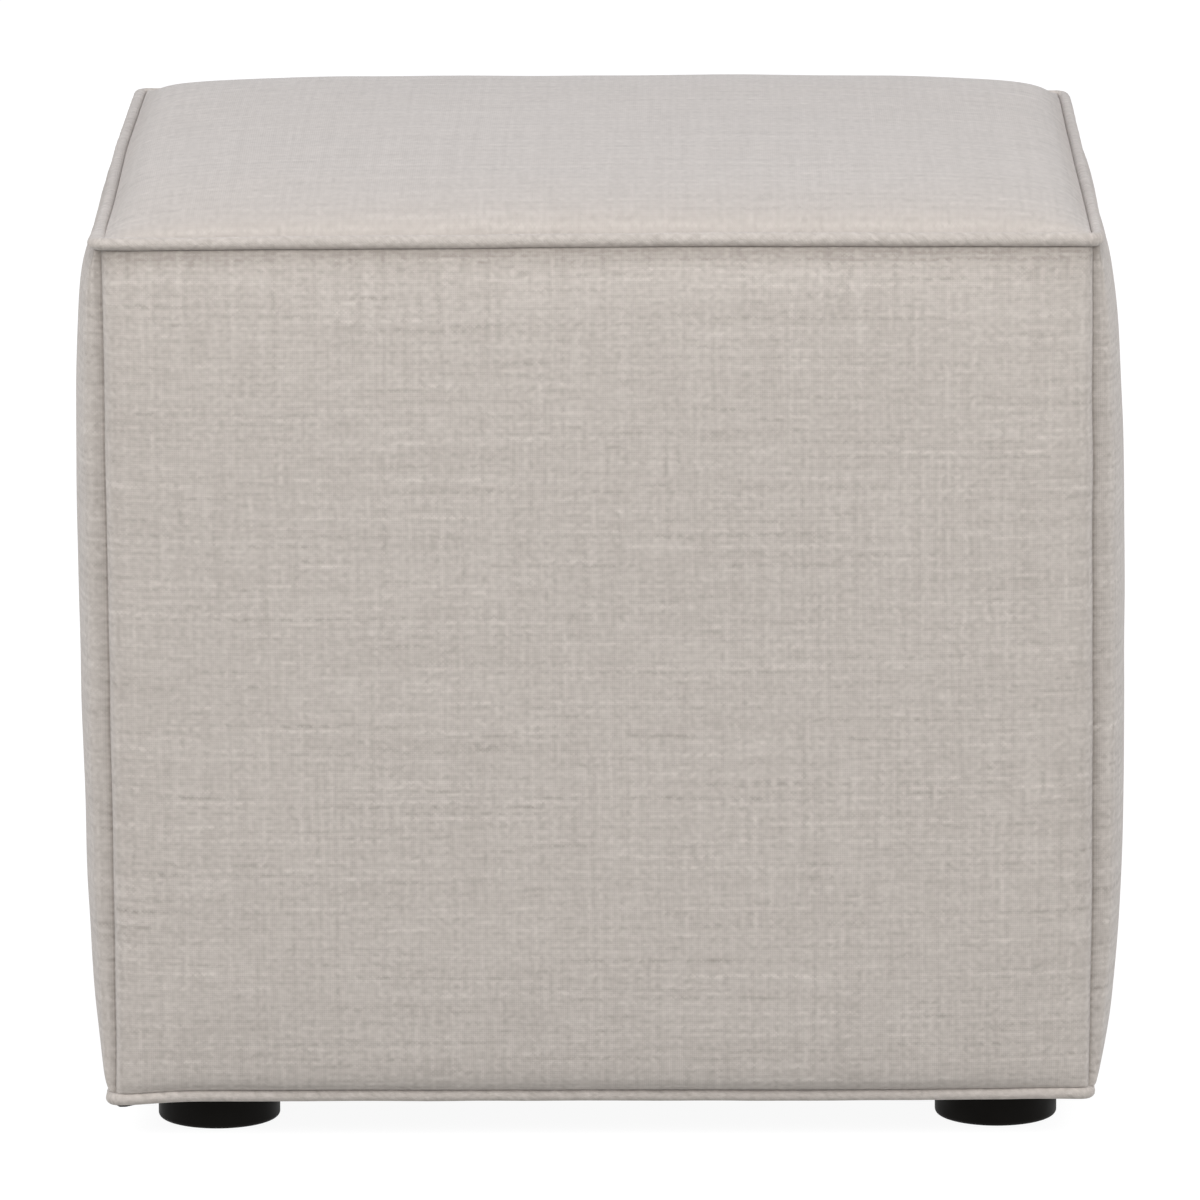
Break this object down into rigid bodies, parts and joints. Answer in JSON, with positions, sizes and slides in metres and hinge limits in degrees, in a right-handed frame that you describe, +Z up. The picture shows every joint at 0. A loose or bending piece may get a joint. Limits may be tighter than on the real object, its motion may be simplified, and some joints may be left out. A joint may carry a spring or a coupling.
{
  "type": "upholstered cube pouf stool",
  "caption": "Square padded pouf stool in a plain woven cloth, welted round its top and bottom edges, on low round feet.",
  "frame": {"origin": "on the floor, under the middle of the footprint", "axes": "+Z up, -Y towards the front, +X to the right as seen from the front"},
  "size_m": [0.4594, 0.4576, 0.4137],
  "materials": {
    "linen": "matt plain weave with slubs, linen look",
    "welt_linen": "the same cloth cut on the bias round a cord",
    "dust_cloth": "matt black non-woven",
    "black_plastic": "satin moulded"
  },
  "bodies": {
    "root": {"top_panel": "linen", "front_panel": "linen", "right_panel": "linen", "back_panel": "linen", "left_panel": "linen", "top_welt": "welt_linen", "bottom_welt": "welt_linen", "base": "dust_cloth", "foot_front_left": "black_plastic", "foot_front_right": "black_plastic", "foot_back_right": "black_plastic", "foot_back_left": "black_plastic"}
  },
  "joints": []
}
